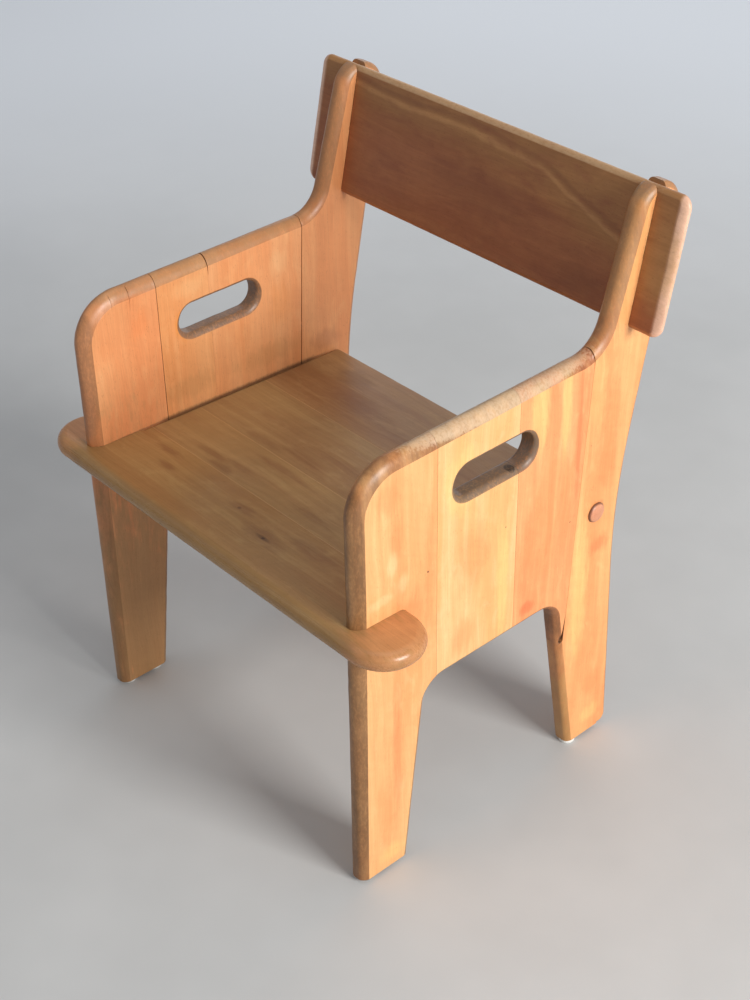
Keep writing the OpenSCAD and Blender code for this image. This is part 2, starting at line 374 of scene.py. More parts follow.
def finish_mesh(piece, local, half, planes=(), seed=0.0, wear=0.18, warp=0.1,
                warp_axis=(1, 0, 0), fade=0.06, torn=None):
    """Marks sharp edges, writes the edge and crease masks, and adds slight wear and warp.
    local gives (u, v, w); torn tells from it which places get painted shade; fade is the mask's
    ramp."""
    with edited(piece) as bm:
        bmesh.ops.remove_doubles(bm, verts=bm.verts, dist=1e-6)
        bmesh.ops.dissolve_degenerate(bm, dist=1e-6, edges=bm.edges)
        edge_mask = bm.verts.layers.float.new("edge")
        crease = bm.verts.layers.float.new("crease")
        bm.normal_update()
        depth = {vert: local(vert.co)[2] for vert in bm.verts}
        cap = {face: all(abs(depth[vert]) > half - 0.02 for vert in face.verts)
               for face in bm.faces}
        for face in bm.faces:
            face.smooth = True
        for edge in bm.edges:
            if len(edge.link_faces) == 2:
                one, other = edge.link_faces
                bent = one.normal.angle(other.normal, 0) > math.radians(30)
                edge.smooth = not (cap[one] != cap[other] or bent)
        for vert in bm.verts:
            vert[edge_mask] = max(0.0, min(1.0, (half - abs(depth[vert])) / fade))
            for point, normal, darkness in planes:
                if abs((vert.co - Vector(point)).dot(Vector(normal).normalized())) < 2e-5:
                    vert[crease] = max(vert[crease], darkness)
            if torn and torn(*local(vert.co)):
                vert[crease] = 1.0
        for vert in bm.verts:
            at, shift = vert.co / MM, Vector((0, 0, 0))
            on_cap = any(cap[face] for face in vert.link_faces)
            if not on_cap and vert[crease] < 0.5 and all(e.smooth for e in vert.link_edges):
                coarse = noise.noise(at / 11 + Vector((seed, 3, 1))) * 0.7
                small = noise.noise(at / 4 + Vector((1, seed, 5))) * 0.3
                shift += vert.normal * (coarse + small) * wear
            wave = noise.noise(Vector((at.y / 90 + seed, at.z / 130, at.x / 400)))
            shift += Vector(warp_axis) * wave * warp
            vert.co += shift * MM


def smooth_by_angle(piece, degrees=40):
    with edited(piece) as bm:
        for face in bm.faces:
            face.smooth = True
        for edge in bm.edges:
            if len(edge.link_faces) == 2:
                edge.smooth = edge.calc_face_angle(0) < math.radians(degrees)


# ---------------------------------------------------------------- places of the boards
class Tilt:
    """Axes turned about x by an angle in degrees, from (u 0, y, z) over the side's origin."""

    def __init__(self, degrees, y, z):
        self.sin, self.cos = math.sin(math.radians(degrees)), math.cos(math.radians(degrees))
        self.y, self.z = y, z

    def place(self, x, y, z):
        return Vector((x, y * self.cos + z * self.sin + self.y - FRONT,
                       -y * self.sin + z * self.cos + self.z + FEET)) * MM

    def local(self, point):
        x, y, z = point / MM - Vector((0, self.y - FRONT, self.z + FEET))
        return x, y * self.cos - z * self.sin, y * self.sin + z * self.cos


SEAT_TILT = Tilt(SEAT_FALL, 0, SEAT_H)
BACK_TILT = Tilt(BACK_LEAN, BACK_Y, BACK_Z)


def seat_place(u, v, w):
    """u to the right, v to the rear, w above the seat's middle plane."""
    return SEAT_TILT.place(u, v, w - SEAT_T / 2)


def seat_local(point):
    x, y, z = SEAT_TILT.local(point)
    return x, y, z + SEAT_T / 2


def back_place(u, v, w):
    """u to the right, v up the backrest, w to the rear from its middle plane."""
    return BACK_TILT.place(u, w + BACK_T / 2, v)


def back_local(point):
    x, y, z = BACK_TILT.local(point)
    return x, z, y - BACK_T / 2


def peg_place(sign):
    """Two axes across a peg and the distance x from the chair's middle."""
    return lambda across, up, x: seat_place(sign * x, PEG_Y + across, up)


def side_place(sign):
    """u and v of a side and the distance x from the chair's middle."""
    return lambda u, v, x: Vector((sign * x, u - FRONT, v + FEET)) * MM


def side_local(point):
    at = point / MM
    return at.y + FRONT, at.z - FEET, abs(at.x) - MIDDLE


# ---------------------------------------------------------------- the sides
def side_roundover(u, v, over):
    """The arm's front is rounded most; the edges get crisper toward the feet."""
    if u < 1 and v < 320:
        return 6.3 + 3.1 * min(1, max(0, (v - 10) / 250))
    if u < 215 and v > 340:
        return 9.4 - 2.4 * min(1, max(0, (u - 50) / 150))
    if u > 250 and 0 < v < 225:
        return min(over, 2.8 + 2.0 * v / 225)
    return over


STUB = 24           # the outline runs on below the feet, to be cut off level
POST_FRONT = 233.85 + 0.30 * (475.5 - 364.5)
# u, v, corner radius, roundover of the edge that follows
SIDE = [(u, v, side_roundover(u, v, over)) for u, v, over in outline([
    (0, -STUB, 11, 6),
    (45.5 - 0.12 * STUB, -STUB, 7, 4.0),
    (64.7, 160, 20, 2.8),
    (196.7, 160, 20, 5.0),
    (222.5 + 0.161 * STUB, -STUB, 7, 4),
    (258.5, -STUB, 6, 3),
    (260.2, 0, 0, 3.0),
    (268.5, 0, 7.8, 4.8),
    (KNEE_U, KNEE_V, 560, 4.8),
    (KNEE_U + 0.20 * (POST_TOP - KNEE_V), POST_TOP, 22, 4.2),
    (POST_FRONT, POST_TOP, 22, 7.0),
    (233.85, ARM, 26, 7.0),
    (0, ARM, 38, 9.4)])]
# The hole has round ends; its lower edge is rounded over more than its upper one.
HOLE = [(u, v, 2.9 + 1.7 * min(1, max(0, (HOLE_V + 4 - v) / 14))) for u, v, _ in outline(
    [(HOLE_U + along * HOLE_L / 2, HOLE_V + up * HOLE_H / 2, HOLE_H / 2 - 0.01, 0)
     for along, up in ((-1, -1), (1, -1), (1, 1), (-1, 1))], step=2.4)]

slot_end, slot_low, slot_r = EAR_DEPTH + FIT, -SEAT_T - FIT, SEAT_T / 2 + FIT - 0.02
SEAT_SLOT = [tuple(point) for arc in corner_arcs((
    (-30, slot_low, 0), (slot_end, slot_low, slot_r), (slot_end, FIT, slot_r), (-30, FIT, 0)))
    for point in arc]

# Ragged lower end (u, v) of the right side's stave 3, beside the rear leg
TIP = [(200, 113), (202.8, 111.2), (204.4, 114.8), (205.9, 112.4), (207.6, 115.2)]

# Cracks down from the arm's top: u, top, bottom, width, outer end in x, lean
left_crack = (JOINTS["left"][1], 367, 349, 1.3, OUTER + 1, 0.6)
right_crack = (JOINTS["right"][2] + 0.1, 372, 353, 1.2, OUTER + 1, -0.8)
CRACKS = {
    ("left", 1): ((47, 367, 345.5, 0.5, INNER + 5.5, -0.6),
                  (30.8, 367, 350, 0.4, INNER + 4.5, -0.3)),
    ("left", 2): (left_crack,),
    ("left", 3): (left_crack,),
    ("right", 3): (right_crack,),
    ("right", 4): (right_crack,)}


def joint_planes(tag):
    """A side's joints, their normals pointing to the rear."""
    first, second, third, lean = JOINTS[tag]
    lean = math.radians(lean)
    return [((0, (first - FRONT) * MM, 0), (0, 1, 0)),
            ((0, (second - FRONT) * MM, 0), (0, 1, 0)),
            ((0, (third - FRONT) * MM, (ARM + FEET) * MM), (0, math.cos(lean), -math.sin(lean)))]


def break_u(v):
    """u of the right side's third joint at height v."""
    _, _, third, lean = JOINTS["right"]
    return third - (ARM - v) * math.tan(math.radians(lean))


def seat_slot(sign):
    return prism(SEAT_SLOT, INNER - 3, OUTER + 3,
                 lambda u, v, x: seat_place(sign * x, u, v + SEAT_T / 2))


def back_slot(sign):
    bottom, top, half = BACK_H / 2 - PLAY, BACK_H / 2 + 70, BACK_T / 2 + PLAY
    return prism([(bottom, -half), (top, -half), (top, half), (bottom, half)],
                 INNER - 3, OUTER + 3, lambda v, w, x: back_place(sign * x, v, w))


def peg_bore(sign, start, end):
    return rod(PEG_D / 2 + 0.05, start, end, peg_place(sign))


def nail_bore(sign, outwards, u):
    return rod(1.15, -2, 14.5, lambda across, along, up: Vector(
        (sign * (MIDDLE + outwards) + across, u - FRONT + along, up + FEET)) * MM, count=20)


def crack(sign, u, top, bottom, width, end, lean):
    """Thin wedge from the inner face outwards, widest at the top."""
    return prism([(u - width / 2, top), (u + width / 2, top),
                  (u + width * 0.08 + lean, bottom), (u - width * 0.08 + lean, bottom)],
                 INNER - 1, end, side_place(sign))


def rest_of_break():
    """All of the right side in front of stave 4, which keeps what broke off stave 3."""
    points = [(-60, 520), (break_u(520), 520), (break_u(117), 117), *TIP[::-1],
              (190, 112), (190, -60), (-60, -60)]
    return prism(points, INNER - 2, OUTER + 2, side_place(1))


def break_cutters():
    """The tip of the right side's stave 3, and a sliver of its outer edge above."""
    tip = TIP + [(break_u(117), 117), (214, 117), (225, 60), (190, 60), (190, 112)]
    sliver = [(break_u(142) + 0.3, 142), (break_u(142) - 0.15, 142), (break_u(128) - 1.5, 128),
              (break_u(117) - 3.2, 116), (break_u(117) + 0.6, 116)]
    return [prism(tip, INNER - 2, OUTER + 2, side_place(1)),
            prism(sliver, INNER + 7, OUTER + 2, side_place(1))]


def torn_wood_shade(u, v, w):
    """Where the sliver has broken off: painted shade in the torn wood."""
    return 115 < v < 141.8 and w > -1.2 and break_u(v) - 3.4 < u and abs(w) < HALF - 0.4


def stave_cutters(tag, sign, number):
    cutters = []
    if number == 1:
        cutters += [seat_slot(sign)] + [nail_bore(sign, *glide) for glide in GLIDES[:2]]
    if number == 4:
        if tag == "right":
            cutters.append(rest_of_break())
        cutters += [back_slot(sign), peg_bore(sign, INNER - 4, OUTER + 4)]
        cutters += [nail_bore(sign, *glide) for glide in GLIDES[2:]]
    cutters += [crack(sign, *row) for row in CRACKS.get((tag, number), ())]
    if (tag, number) == ("right", 3):
        cutters += break_cutters()
    return cutters


def groove_joint(piece, point, normal, depth, above):
    """Sinks the border of a joint face that a cutter made, to match the other joints."""
    point, normal = Vector(point), Vector(normal).normalized()
    with edited(piece) as bm:
        bm.normal_update()
        for vert in bm.verts:
            if abs((vert.co - point).dot(normal)) < 1e-6 and vert.co.z > above:
                faces = [f for f in vert.link_faces if abs(f.normal.dot(normal)) < 0.99]
                sink(vert, faces, normal, depth)


def build_side(tag, sign):
    place = side_place(sign)
    whole = slab([SIDE, HOLE], HALF, lambda u, v, w: place(u, v, MIDDLE + w), shoulder=0.42)
    cut(whole, (0, 0, FEET * MM), (0, 0, -1), groove=0.9, depth=0.7)
    planes, grooves = joint_planes(tag), GROOVES[tag]
    for number in range(1, 5):
        broken = (tag, number) == ("right", 4)
        bm, used = cut_piece(whole, number - 1, planes, grooves, broken)
        piece = to_object(f"stave_{tag}_{number}", bm)
        subtract(piece, stave_cutters(tag, sign, number))
        if broken:
            groove_joint(piece, *planes[2], depth=grooves[2][1], above=(118 + FEET) * MM)
        finish_mesh(piece, side_local, HALF, used, seed=number * 3.1 + (0 if sign == 1 else 20),
                    torn=torn_wood_shade if (tag, number) == ("right", 3) else None)
        register(piece, "frame", f"side_{tag}_stave_{number}")
    whole.free()


# ---------------------------------------------------------------- the seat and the backrest
def seat_roundover(u, v, over, least=0.9, fade=6):
    """Along the ears' rear edge the roundover shrinks towards the side."""
    if 40 < v < 48:
        return least + (over - least) * min(1, max(0, (abs(u) - SEAT_EDGE) / fade))
    return over


def build_seat():
    # u, v, corner radius, roundover of the edge that follows
    loop = outline([
        (-SEAT_EDGE, SEAT_L, 3.2, 0.9),
        (-SEAT_EDGE, EAR_DEPTH, 0, 7.85),
        (-EAR_REACH, EAR_DEPTH, EAR_R, 7.85),
        (-EAR_REACH, -NOSE, EAR_R, 7.85),
        (EAR_REACH, -NOSE, EAR_R, 7.85),
        (EAR_REACH, EAR_DEPTH, EAR_R, 7.85),
        (SEAT_EDGE, EAR_DEPTH, 0, 0.9),
        (SEAT_EDGE, SEAT_L, 3.2, 2.8)])
    loop = [(u, v, seat_roundover(u, v, over)) for u, v, over in loop]
    whole = slab([loop], SEAT_T / 2, seat_place, steps=9)
    rear = tuple(Vector((0, SEAT_TILT.cos, -SEAT_TILT.sin)))
    planes = [(tuple(seat_place(0, v, SEAT_T / 2)), rear) for v in SEAT_JOINTS]
    for index, part in enumerate(("front", "2", "3", "rear")):
        bm, used = cut_piece(whole, index, planes, SEAT_GROOVES)
        piece = to_object(f"seat_plank_{part}", bm)
        if part == "rear":
            subtract(piece, [peg_bore(sign, SEAT_EDGE - PEG_IN - 1, INNER + 5)
                             for _, sign in SIDES])
        finish_mesh(piece, seat_local, SEAT_T / 2, used, seed=index * 2.3 + 50,
                    warp=0.05, warp_axis=(0, 0, 1), fade=1.6)
        register(piece, "frame", f"seat_board_{part}")
    whole.free()


def build_back():
    """Board whose lower half is notched at both sides, over their thickness."""
    loop = outline([(-BACK_L / 2, 0, BACK_R, 3.4), (BACK_L / 2, 0, BACK_R, 6.4),
                    (BACK_L / 2, BACK_H, BACK_R, 3.9), (-BACK_L / 2, BACK_H, BACK_R, 6.4)])
    piece = to_object("back_panel", slab([loop], BACK_T / 2, back_place, steps=8, shoulder=0.32))
    notch = [(-20, -BACK_T), (BACK_H / 2, -BACK_T), (BACK_H / 2, BACK_T), (-20, BACK_T)]
    subtract(piece, [prism(notch, MIDDLE - HALF - PLAY, MIDDLE + HALF + PLAY,
                           lambda v, w, x, sign=sign: back_place(sign * x, v, w))
                     for _, sign in SIDES])
    finish_mesh(piece, back_local, BACK_T / 2, seed=80, wear=0.16, warp=0.0)
    register(piece, "backrest", "backrest")


# ---------------------------------------------------------------- pegs and glides
def build_peg(tag, sign, dome_steps=14, bevel=0.35, chamfer=0.8):
    radius, end = PEG_HEAD / 2, SEAT_EDGE - PEG_IN
    profile = [(0, end), (PEG_D / 2 - chamfer, end), (PEG_D / 2, end + chamfer),
               (PEG_D / 2, OUTER), (radius - bevel, OUTER), (radius, OUTER + bevel)]
    for i in range(1, dome_steps + 1):
        angle = math.pi / 2 * i / dome_steps
        profile.append((radius * math.cos(angle) ** 0.72 if i < dome_steps else 0,
                        OUTER + bevel + (PEG_HEAD_H - bevel) * math.sin(angle) ** 1.05))
    piece = to_object(f"peg_head_{tag}", lathe(profile, peg_place(sign), count=64))
    with edited(piece) as bm:   # slight unevenness of the dome
        bm.normal_update()
        for vert in bm.verts:
            at = vert.co / MM
            if abs(at.x) > OUTER + 0.5:
                vert.co += vert.normal * noise.noise(at / 3.0 + Vector((7, 2, 1))) * 0.12 * MM
    smooth_by_angle(piece)
    register(piece, "frame", f"peg_{tag}")


# Radius and height of a glide's section, around its nail hole
GLIDE = [(1.25, 0.6), (1.9, 0.55), (2.2, 0.2), (2.6, 0.0), (5.4, 0.0), (5.9, 0.12), (6.3, 0.5),
         (6.5, 1.1), (6.5, 2.5), (6.35, 3.0), (1.25, 3.0), (1.25, 0.6)]


def build_glides():
    discs = bmesh.new()
    for _, sign in SIDES:
        for outwards, u in GLIDES:
            x, y = sign * (MIDDLE + outwards), u - FRONT
            disc = lathe(GLIDE, lambda across, along, z: Vector((x + across, y + along, z)) * MM,
                         count=40)
            bmesh.ops.remove_doubles(disc, verts=disc.verts, dist=1e-7)
            mesh = bpy.data.meshes.new("disc")
            disc.to_mesh(mesh)
            disc.free()
            discs.from_mesh(mesh)
            bpy.data.meshes.remove(mesh)
    bmesh.ops.recalc_face_normals(discs, faces=discs.faces)
    piece = to_object("glide_discs", discs)
    smooth_by_angle(piece)
    register(piece, "frame", "glides")


for tag, sign in SIDES:
    build_side(tag, sign)
build_seat()
build_back()
for tag, sign in SIDES:
    build_peg(tag, sign)
build_glides()


# ---------------------------------------------------------------- shader helpers
class Shader:
    """A material with one principled surface, and short ways to add nodes to it."""

    def __init__(self, name):
        self.material = bpy.data.materials.new(name)
        self.material.use_nodes = True
        self.tree = self.material.node_tree
        self.tree.nodes.clear()
        output = self.put("ShaderNodeOutputMaterial")
        self.surface = self.put("ShaderNodeBsdfPrincipled")
        self.fill(output, {0: self.surface.outputs[0]})

    def fill(self, node, inputs):
        for key, value in inputs.items():
            if isinstance(value, bpy.types.NodeSocket):
                self.tree.links.new(value, node.inputs[key])
            else:
                node.inputs[key].default_value = value

    def put(self, kind, inputs=None, **properties):
        node = self.tree.nodes.new(kind)
        for key, value in properties.items():
            setattr(node, key, value)
        self.fill(node, inputs or {})
        return node

    def finish(self, colour, roughness, normal, others=None):
        self.fill(self.surface, {"Base Color": colour, "Roughness": roughness,
                                 "Normal": normal, **(others or {})})
        return self.material

    def math(self, operation, a, b=0.0, c=0.0):
        return self.put("ShaderNodeMath", {0: a, 1: b, 2: c}, operation=operation).outputs[0]

    def mul(self, a, b):
        return self.math("MULTIPLY", a, b)

    def mul_add(self, a, b, c):
        return self.math("MULTIPLY_ADD", a, b, c)

    def swing(self, value, amount, about=None):
        """A noise, less its mean of 0.5, times an amount, about a middle value if there is one."""
        value = self.math("SUBTRACT", value, 0.5)
        return self.mul(value, amount) if about is None else self.mul_add(value, amount, about)

    def vec(self, operation, a, b=(0, 0, 0)):
        node = self.put("ShaderNodeVectorMath", {0: a, 1: b}, operation=operation)
        scalar = operation in ("DISTANCE", "LENGTH", "DOT_PRODUCT")
        return node.outputs["Value" if scalar else 0]

    def scale(self, vector, factor):
        return self.put("ShaderNodeVectorMath", {0: vector, 3: factor},
                        operation="SCALE").outputs[0]

    def mapping(self, vector, **how):
        return self.put("ShaderNodeMapping", {"Vector": vector, **how}).outputs[0]

    def combine(self, *values):
        return self.put("ShaderNodeCombineXYZ", dict(enumerate(values))).outputs[0]

    def metres(self):
        return self.put("ShaderNodeTexCoord").outputs["Object"]

    def millimetres(self):
        return self.scale(self.metres(), 1000.0)

    def attribute(self, name):
        return self.put("ShaderNodeAttribute", attribute_name=name).outputs["Fac"]

    def ramp(self, value, start, end, low=0.0, high=1.0):
        return self.put("ShaderNodeMapRange", {0: value, 1: start, 2: end, 3: low, 4: high},
                        interpolation_type="SMOOTHSTEP").outputs[0]

    def mix(self, factor, under, over, blend="MIX"):
        under, over = [(*c, 1) if isinstance(c, tuple) else c for c in (under, over)]
        return self.put("ShaderNodeMix", {0: factor, 6: under, 7: over},
                        data_type="RGBA", blend_type=blend).outputs[2]

    def tint(self, colour, mask, strength, over):
        return self.mix(self.mul(mask, strength), colour, over)

    def noise(self, point, size, detail=3.0, rough=0.5, distort=0.0):
        """Noise whose features have a size, or three, in the point's units."""
        if isinstance(size, tuple):
            point = self.vec("MULTIPLY", point, tuple(1 / part for part in size))
        else:
            point = self.scale(point, 1 / size)
        return self.put("ShaderNodeTexNoise", {
            "Vector": point, "Scale": 1.0, "Detail": detail, "Roughness": rough,
            "Distortion": distort}).outputs[0]

    def ellipsoid(self, point, middle, radii):
        """Distance from the middle, 1 on the ellipsoid."""
        return self.vec("LENGTH", self.vec("DIVIDE", self.vec("SUBTRACT", point, middle), radii))

    def bump(self, height, strength, distance, **normal):
        return self.put("ShaderNodeBump", {"Height": height, "Strength": strength,
                                           "Distance": distance, **normal}).outputs[0]


def rgb(*values):
    """sRGB bytes to linear."""
    return tuple((c / 255) / 12.92 if c / 255 <= 0.04045 else ((c / 255 + 0.055) / 1.055) ** 2.4
                 for c in values)


def in_mm(point):
    return tuple(point / MM)


def dress(piece, material):
    piece.data.materials.clear()
    piece.data.materials.append(material)


# ---------------------------------------------------------------- wood
TONE = 1.0                                     # brightness of all the wood
# painted shade and dirt: the dark tint in the gap between the seat and the left side
SEAM_SHADE_AND_DIRT = (0.06, 0.03, 0.015)
TURNS = {"Z": (0, 0, 0), "X": (0, math.pi / 2, 0)}   # rotation that lays the grain along z


def add_spots(sh, colour, world, grain, spots):
    """Soft patches of another hue: middle, radii, strength, colour."""
    for middle, radii, strength, hue in spots:
        far = sh.ellipsoid(world, middle, radii)
        wobble = sh.swing(sh.noise(grain, (8.0, 5.0, 20.0), rough=0.6), 1.3)
        mask = sh.ramp(sh.math("ADD", far, wobble), 1.15, 0.35)
        colour = sh.tint(colour, mask, strength, hue)
    return colour


def add_soil_and_painted_light(sh, colour, world, edge, scuff, soil_and_painted_light):
    """Dirt, and in some entries painted sheen and painted shade, that only the rounded edges hold:
    middle, radii, strength, colour.
    """
    for middle, radii, strength, hue in soil_and_painted_light:
        far = sh.ellipsoid(world, middle, radii)
        mask = sh.mul(sh.ramp(sh.math("ADD", far, sh.swing(scuff, 0.5)), 1.0, 0.8), edge)
        patchy = sh.mul_add(sh.ramp(scuff, 0.3, 0.6), 0.45 * strength, 0.55 * strength)
        colour = sh.tint(colour, mask, patchy, hue)
    return colour


def add_seams(sh, colour, world, scuff, seams):
    """Painted shade and dirt along a plane: its point, normal, reach and strength, the region's
    middle and radii.
    """
    for point, normal, reach, strength, middle, radii in seams:
        far = sh.vec("DOT_PRODUCT", sh.vec("SUBTRACT", world, point), normal)
        far = sh.math("ADD", sh.math("ABSOLUTE", far), sh.swing(scuff, reach * 0.8))
        region = sh.ramp(sh.ellipsoid(world, middle, radii), 1.0, 0.85)
        mask = sh.mul(sh.ramp(far, reach, reach * 0.15), strength)
        colour = sh.tint(colour, mask, region, SEAM_SHADE_AND_DIRT)
    return colour


def add_marks(sh, colour, world, marks):
    """Small round marks: middle, radius, strength, colour."""
    for middle, radius, strength, hue in marks:
        far = sh.vec("DISTANCE", world, middle)
        wobble = sh.swing(sh.noise(world, 0.9 * radius, detail=2), radius * 1.1)
        mask = sh.ramp(sh.math("ADD", far, wobble), radius, radius * 0.35)
        colour = sh.tint(colour, mask, strength, hue)
    return colour


def wood(name, base, warm, pale, grime_and_sheen, grime_and_sheen_amount, seed, along="Z", figure=1.0, rough=0.46,
         mottles=0.35, joint=(0.035, 0.018, 0.01), joint_strength=0.8, drawn=None,
         spots=(), soil_and_painted_light=(), seams=(), marks=()):
    """Oiled beech. base, warm, pale and joint are colours and the edge tint a multiplier: grime
    below 1, a painted sheen above 1; figure and mottles are strengths; drawn(shader, world, colour)
    adds a figure of its own."""
    sh = Shader(name)
    world = sh.millimetres()
    point = sh.mapping(world, Location=(seed * 37.7, seed * 91.3, seed * 53.1))
    point = sh.mapping(point, Rotation=TURNS[along])
    # the grain runs along z and bends slightly
    bend = sh.math("SUBTRACT", sh.noise(point, (60, 60, 150), detail=2), 0.5)
    grain = sh.vec("ADD", point, sh.combine(sh.mul(bend, 16.0), sh.mul(bend, 20.0)))

    drift = sh.noise(grain, (40, 26, 200), detail=2)
    bands = sh.noise(grain, (18, 7.0, 300), rough=0.6)
    fibre = sh.noise(grain, (2.2, 1.1, 60), detail=4, rough=0.65)
    fine = sh.noise(grain, (0.8, 0.45, 18), detail=2, rough=0.6)
    mottle = sh.noise(grain, (17, 11, 30), rough=0.6, distort=0.9)
    silk = sh.noise(sh.mapping(point, Rotation=(0.5, 0.0, 0.25)), (9, 30, 6),
                    detail=2, distort=0.4)
    # ray flecks: cells, of which a coarser noise picks some
    cells = sh.put("ShaderNodeTexVoronoi", {
        "Vector": sh.vec("MULTIPLY", grain, (1 / 1.3, 1 / 0.75, 1 / 3.4)),
        "Scale": 1.0, "Randomness": 1.0}, feature="F1").outputs["Distance"]
    pick = sh.noise(grain, (1.9, 1.9, 5.0), detail=1)
    fleck = sh.mul(sh.ramp(cells, 0.34, 0.16), sh.ramp(pick, 0.5, 0.62))
    scuff = sh.noise(point, (1.6, 1.6, 3.5), rough=0.6)

    # hue
    colour = sh.mix(sh.ramp(drift, 0.38, 0.62), base, warm)
    colour = sh.tint(colour, sh.ramp(mottle, 0.50, 0.74), mottles, pale)
    colour = sh.tint(colour, sh.ramp(bands, 0.52, 0.70), 0.45 * figure, warm)
    colour = sh.tint(colour, sh.ramp(bands, 0.46, 0.32), 0.35 * figure, pale)
    if drawn:
        colour = drawn(sh, world, colour)

    # brightness: each layer's contrast
    light = sh.swing(bands, -0.26 * figure, 1.0)
    for layer, contrast in ((fibre, 0.46 * figure), (fine, 0.24), (silk, 0.16 * figure)):
        light = sh.mul(light, sh.swing(layer, contrast, 1.0))
    light = sh.mul(light, sh.mul_add(fleck, -0.20, 1.0))
    light = sh.mul(light, TONE)
    colour = add_spots(sh, colour, world, grain, spots)
    # the dark parts turn slightly redder
    shade = sh.combine(sh.math("POWER", light, 0.85), light, sh.math("POWER", light, 1.15))
    colour = sh.mix(1.0, colour, shade, "MULTIPLY")

    # handled, rounded edges: grime with rubbed patches, and a painted sheen where the multiplier is
    # above 1
    edge = sh.attribute("edge")
    rub = sh.noise(point, (9, 9, 24), detail=4, rough=0.66)
    patchy = sh.noise(point, (9, 9, 130))
    edge_dirt_and_sheen = sh.mul(edge, sh.mul_add(sh.ramp(rub, 0.34, 0.62), 0.18, 0.62))
    edge_dirt_and_sheen = sh.mul_add(sh.mul(edge, sh.ramp(patchy, 0.36, 0.62)), 0.24, edge_dirt_and_sheen)
    edge_dirt_and_sheen = sh.mul(edge_dirt_and_sheen, sh.ramp(scuff, 0.25, 0.6, low=0.88))
    colour = sh.tint(colour, edge_dirt_and_sheen, grime_and_sheen_amount, sh.mix(1.0, colour, grime_and_sheen, "MULTIPLY"))
    colour = add_soil_and_painted_light(sh, colour, world, edge, scuff, soil_and_painted_light)
    colour = add_seams(sh, colour, world, scuff, seams)
    # dark joints, and painted shade in the torn wood
    colour = sh.tint(colour, sh.ramp(sh.attribute("crease"), 0.05, 0.95), joint_strength, joint)
    colour = add_marks(sh, colour, world, marks)

    roughness = sh.swing(rub, 0.22, rough)
    roughness = sh.swing(fibre, 0.12, roughness)
    roughness = sh.mul_add(edge, -0.09, roughness)
    height = sh.mul(fibre, 0.45)
    height = sh.mul_add(fine, 0.25, height)
    height = sh.mul_add(fleck, -0.35, height)
    height = sh.mul_add(sh.mul(edge, scuff), 0.5, height)
    normal = sh.bump(height, strength=0.35, distance=0.00016)
    normal = sh.bump(mottle, strength=0.30, distance=0.0006, Normal=normal)
    return sh.finish(colour, roughness, normal, {"Specular IOR Level": 0.45})


# ---------------------------------------------------------------- wood of the sides
DARK = (0.05, 0.02, 0.01)
PEG_SHADE = (0.16, 0.07, 0.03)
ORANGE, RED, YELLOW = rgb(238, 142, 84), rgb(226, 118, 70), rgb(244, 196, 122)
PALE = rgb(246, 204, 148)
FACE_X = {"right": OUTER, "left": -INNER}      # the faces that carry the spots, both on their right

# base, warm and pale colour, share of grime on the edges
SIDE_WOODS = {
    "stave_right_1": ((234, 174, 114), (234, 161, 101), (239, 192, 134), 1.0),
    "stave_right_2": ((235, 182, 123), (234, 171, 108), (239, 199, 146), 1.0),
    "stave_right_3": ((234, 159, 103), (234, 147, 92), (238, 183, 124), 0.95),
    "stave_right_4": ((234, 168, 107), (233, 154, 95), (238, 186, 124), 0.7),
    "stave_left_1": ((232, 159, 106), (230, 149, 96), (236, 171, 118), 0.55),
    "stave_left_2": ((230, 162, 106), (227, 151, 93), (236, 174, 118), 0.55),
    "stave_left_3": ((228, 160, 107), (226, 150, 95), (234, 173, 119), 0.55),
    "stave_left_4": ((224, 155, 102), (221, 145, 92), (230, 167, 112), 0.55)}

# Dark marks: x, u, v, radius, strength
SIDE_MARKS = {
    "stave_right_1": [(OUTER, 65.6, 259.2, 1.2, 0.9)],
    "stave_right_2": [(OUTER, 141, 259.2, 0.9, 0.7)],
    "stave_right_3": [(OUTER, 209.2, 229.8, 0.9, 0.8)],
    "stave_right_4": [(OUTER, 216.5, 307.3, 0.7, 0.6), (OUTER, 227.5, 288.5, 0.6, 0.6)],
    "stave_left_4": [(-MIDDLE - 2, 263.2, 452, 1.4, 0.85)]}

